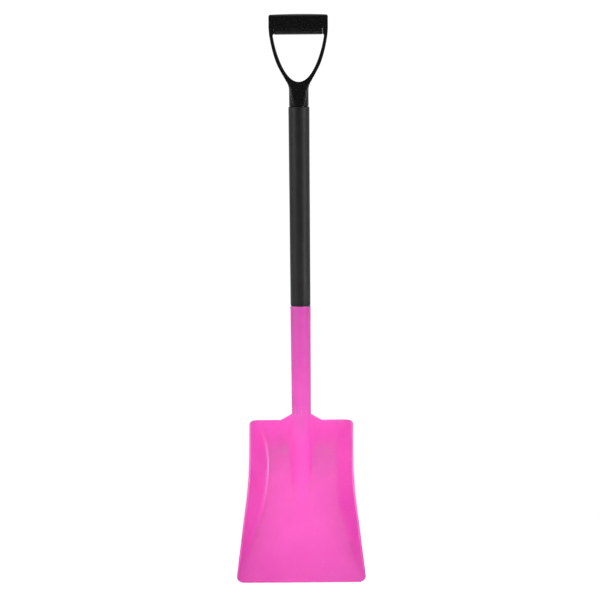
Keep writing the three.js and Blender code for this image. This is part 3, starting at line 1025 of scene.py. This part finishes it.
def spigotTool():
    r, bevel = grip["spigot"], grip["spigotBevel"]
    low = gripFoot - grip["spigotLength"]
    top = gripFoot + 2
    outline = [(0, low), (r - bevel, low), (r, low + bevel), (r, top), (0, top)]
    return lathed("spigotTool", outline, 96, centre=(0, axisY, 0))


# room under the bar, so that the lower shell closes it
def bellyTool(half):
    low = gapTop - grip["barBow"] - 5
    high = gapTop - grip["barBow"] + (grip["partingRise"] + clearance)
    outline = [[-half, low], [half, low], [half, high], [-half, high]]
    return prism("bellyTool", outline, "y", axisY - grip["reach"] / 2, axisY + grip["reach"] / 2)


def makeGripFrame():
    neck, reach = grip["neck"], grip["reach"]
    half = grip["insertHalf"] + clearance
    body = prism("grip_yoke", gripOutline(), "y", axisY - neck, axisY + neck)
    combine(body, prism("gapTool", handGap(), "y", axisY - reach, axisY + reach), "DIFFERENCE")
    combine(body, prism("sideTool", gripSide(), "x", -reach, reach), "INTERSECT")
    combine(body, neckBell(), "INTERSECT")
    combine(body, insertPrism("troughTool", clearance, half), "DIFFERENCE")
    combine(body, bellyTool(half), "DIFFERENCE")
    combine(body, spigotTool(), "UNION")
    for side in (-1, 1):
        combine(body, plugTool(side), "UNION")
        for face in (-1, 1):
            combine(body, neckEdge(side, face), "UNION")
    voxelMould(body, grip["voxel"])
    under, below, fade = grip["softBand"]
    soften(body, grip["armSoftening"], (gapFoot - under, gapTop - below, fade))
    soften(body, grip["softening"])
    dress(body, black)
    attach(body, "root")
    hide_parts("grip_frame")
    print("grip frame:", len(body.data.polygons), "faces")


def makeGripInsert():
    body = insertPrism("grip_lower_shell", 0.0, grip["insertHalf"])
    edge = body.modifiers.new("edge", "BEVEL")
    edge.width = grip["shellEdge"] * mm
    edge.segments = 4
    edge.limit_method = "ANGLE"
    edge.angle_limit = math.radians(40)
    bakeModifiers(body)
    smoothShade(body, 35)
    dress(body, black)
    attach(body, "root")
    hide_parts("grip_bar_insert")
    print("grip insert:", len(body.data.polygons), "faces")


makeGripFrame()
makeGripInsert()

# pan head screws at the back of the socket
screw = {
    "point": (0.5, 0.6),        # radius, and rise from the tip
    "shank": 2.0,
    "threadFrom": 2.2,          # over the tip
    "threadTo": 1.0,            # under the seat
    "threadDepth": 0.35,
    "pitch": 1.4,
    "collar": 0.6,
    "head": 4.2,
    "headEase": (0.2, 0.3),
    "headSide": 0.6,
    "domeCurve": 0.8,
    "recess": 0.75,
    "recessReach": 2.6,
    "recessDeep": 1.3,
}


def screwOutline(tip, crown):
    shank, head, side = screw["shank"], screw["head"], screw["headSide"]
    point, rise = screw["point"]
    easeIn, easeUp = screw["headEase"]
    seat = crown - screwHead
    outline = [(0, tip), (point, tip + rise)]
    y = tip + screw["threadFrom"]
    valley = True
    while y < seat - screw["threadTo"]:
        outline.append((shank - (screw["threadDepth"] if valley else 0), y))
        y += screw["pitch"] / 2
        valley = not valley
    outline += [(shank, seat - screw["collar"]), (shank, seat)]
    outline += [(head - easeIn, seat), (head, seat + easeUp)]
    for t in np.linspace(0.1, math.pi / 2, 9)[:-1]:
        radius = head * math.cos(t) ** screw["domeCurve"]
        outline.append((radius, seat + side + (screwHead - side) * math.sin(t)))
    outline.append((0, crown))
    return outline


def makeScrew(node):
    low, high = (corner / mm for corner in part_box(node))
    z = (low.z + high.z) / 2
    crown = high.y - axisY
    outline = screwOutline(low.y - axisY, crown)
    body = lathed(node.replace("socket_", "pan_"), outline, 56, "y", (0, axisY, z))
    slot, reach = screw["recess"] / 2, screw["recessReach"]
    for wide, tall in ((slot, reach), (reach, slot)):
        section = [[-wide, z - tall], [wide, z - tall], [wide, z + tall], [-wide, z + tall]]
        cut = prism("slotTool", section, "y", axisY + crown - screw["recessDeep"], axisY + crown + 1)
        combine(body, cut, "DIFFERENCE")
    smoothShade(body, 40)
    dress(body, zincSteel)
    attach(body, "root")
    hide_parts(node)
    print(body.name, len(body.data.polygons), "faces")


for node in ("socket_screw_upper", "socket_screw_lower"):
    makeScrew(node)

# pieces inside the shaft keep their frame shape and take a finish
for node, finish in (("shaft_tube", drawnSteel), ("shaft_dowel", dowelPlastic), ("grip_pin", zincSteel)):
    dress(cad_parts[node], finish)

# floor, light and camera
studio = {
    "floorRadius": 1.25,
    "floorFade": 0.85,      # the paper fades out over this width
    "paper": (0.95, 0.95, 0.95, 1.0),
    "paperBounce": (0.75, 0.75, 0.75, 1.0),     # what it throws back at the pieces
    "paperGlow": 0.8,       # seen by the camera only
    "distance": 8.0,
    "lens": 247.0,
    "azimuth": 0.6,
    "elevation": 4.0,
    "roll": -0.47,
    "lookAt": (-0.0009, 0.5453),
    "airSeen": 1.02,        # backdrop behind everything
    "airFront": 0.08,       # what lights and mirrors in the pieces: a dim room in front,
    "airBack": 0.57,        # and a bright backdrop behind
    # place, aim, size, power, spread in degrees, and whether it lights matt and glossy surfaces
    "panels": {
        "overheadPanel": ((0.0, -0.5, 2.9), (0.0, -0.1, 0.0), (2.4, 1.8), 6, 180, True, False),
        "rightStrip": ((2.45, -1.35, 1.4), (0.0, 0.0, 0.3), (0.28, 1.1), 24, 180, False, True),
        "leftStrip": ((-2.45, -1.35, 1.4), (0.0, 0.0, 0.3), (0.28, 1.1), 20, 180, False, True),
        "rightWash": ((2.45, -1.35, 0.8), (0.0, 0.0, 0.45), (0.5, 1.0), 2.4, 45, True, False),
        "leftWash": ((-2.45, -1.35, 0.8), (0.0, 0.0, 0.45), (0.5, 1.0), 2.1, 45, True, False),
        "frontPanel": ((0.0, -3.6, 0.7), (0.0, 0.0, 0.35), (3.0, 1.2), 4, 180, True, False),
        "rightFill": ((2.4, -2.4, 0.5), (0.0, 0.0, 0.42), (0.9, 0.9), 1.0, 30, True, False),
        "leftFill": ((-2.4, -2.4, 0.5), (0.0, 0.0, 0.42), (0.9, 0.9), 1.2, 30, True, False),
        "bladePanel": ((-0.3, -3.2, 0.35), (0.0, -0.05, 0.222), (0.35, 0.35), 0.2, 9, True, False),
        "sheenPanel": ((0.0, -3.5, 1.83), (0.0, -0.03, 0.24), (2.0, 0.7), 0.075, 7.5, False, True),
        "creaseStrip": ((2.45, -1.55, 0.62), (-0.03, -0.03, 0.15), (0.15, 0.8), 0.22, 11, False, True),
    },
}


def makeFloor():
    outline = [(0.0, 0.0)] + [(studio["floorRadius"] * t / mm, 0.0) for t in (0.2, 0.4, 0.6, 0.8, 1.0)]
    floor = lathed("studio_floor", outline, 96)
    material, tree, shader = newMaterial("palePaper", {"Roughness": 0.9, "Specular IOR Level": 0.1})
    grain = placeGroup(tree, groups["grain"], Scale=350.0, Drift=2.0)
    seen = addNode(tree, "ShaderNodeLightPath").outputs["Is Camera Ray"]
    tone = mixColors(tree, seen, studio["paperBounce"], studio["paper"])
    shader.inputs["Emission Color"].default_value = studio["paper"]
    glow = mathNode(tree, "MULTIPLY", seen, studio["paperGlow"])
    tree.links.new(glow, shader.inputs["Emission Strength"])
    fleck = mathNode(tree, "MULTIPLY", grain.outputs["Gloss"], 0.04)
    tree.links.new(mixColors(tree, fleck, tone, (1.0, 1.0, 1.0, 1.0)), shader.inputs["Base Color"])
    place = addNode(tree, "ShaderNodeTexCoord").outputs["Object"]
    reach = addNode(tree, "ShaderNodeVectorMath", operation="LENGTH")
    tree.links.new(place, reach.inputs[0])
    rim = studio["floorRadius"]
    fade = rangeNode(tree, reach.outputs["Value"], rim - studio["floorFade"], rim - 0.02, 1.0, 0.0)
    tree.links.new(fade, shader.inputs["Alpha"])
    dress(floor, material)


def addPanel(name, place, target, size, watts, spread, matt, glossy):
    data = bpy.data.lights.new(name, "AREA")
    data.shape = "RECTANGLE"
    data.size, data.size_y = size
    data.energy = watts
    data.spread = math.radians(spread)
    lamp = bpy.data.objects.new(name, data)
    scene.collection.objects.link(lamp)
    lamp.location = place
    lamp.rotation_euler = (Vector(target) - Vector(place)).to_track_quat("-Z", "Y").to_euler()
    lamp.visible_camera = False
    lamp.visible_diffuse = matt
    lamp.visible_glossy = glossy
    return lamp


def makeLights():
    for name, panel in studio["panels"].items():
        addPanel(name, *panel)
    world = bpy.data.worlds.new("studioAir")
    world.use_nodes = True
    tree = world.node_tree
    air = tree.nodes["Background"]
    air.inputs["Color"].default_value = (1, 1, 1, 1)
    seen = addNode(tree, "ShaderNodeLightPath").outputs["Is Camera Ray"]
    split = addNode(tree, "ShaderNodeSeparateXYZ")
    tree.links.new(addNode(tree, "ShaderNodeTexCoord").outputs["Generated"], split.inputs[0])
    glow = rangeNode(tree, split.outputs["Y"], -0.1, 0.6, studio["airFront"], studio["airBack"])
    tree.links.new(rangeNode(tree, seen, 0.0, 1.0, glow, studio["airSeen"]), air.inputs["Strength"])
    scene.world = world
    scene.view_settings.view_transform = "Standard"


def makeCamera():
    data = bpy.data.cameras.new("studioCamera")
    data.lens = studio["lens"]
    data.clip_end = 50
    camera = bpy.data.objects.new("studioCamera", data)
    scene.collection.objects.link(camera)
    lookX, lookZ = studio["lookAt"]
    target = Vector((lookX, axisY * mm, lookZ))
    rise, turn = math.radians(studio["elevation"]), math.radians(studio["azimuth"])
    back = Vector((math.sin(turn) * math.cos(rise), -math.cos(turn) * math.cos(rise), math.sin(rise)))
    camera.location = target + studio["distance"] * back
    aim = (-back).to_track_quat("-Z", "Y")
    camera.rotation_euler = (aim @ Quaternion((0, 0, 1), math.radians(studio["roll"]))).to_euler()
    scene.camera = camera


makeFloor()
makeLights()
makeCamera()
print("studio ready")
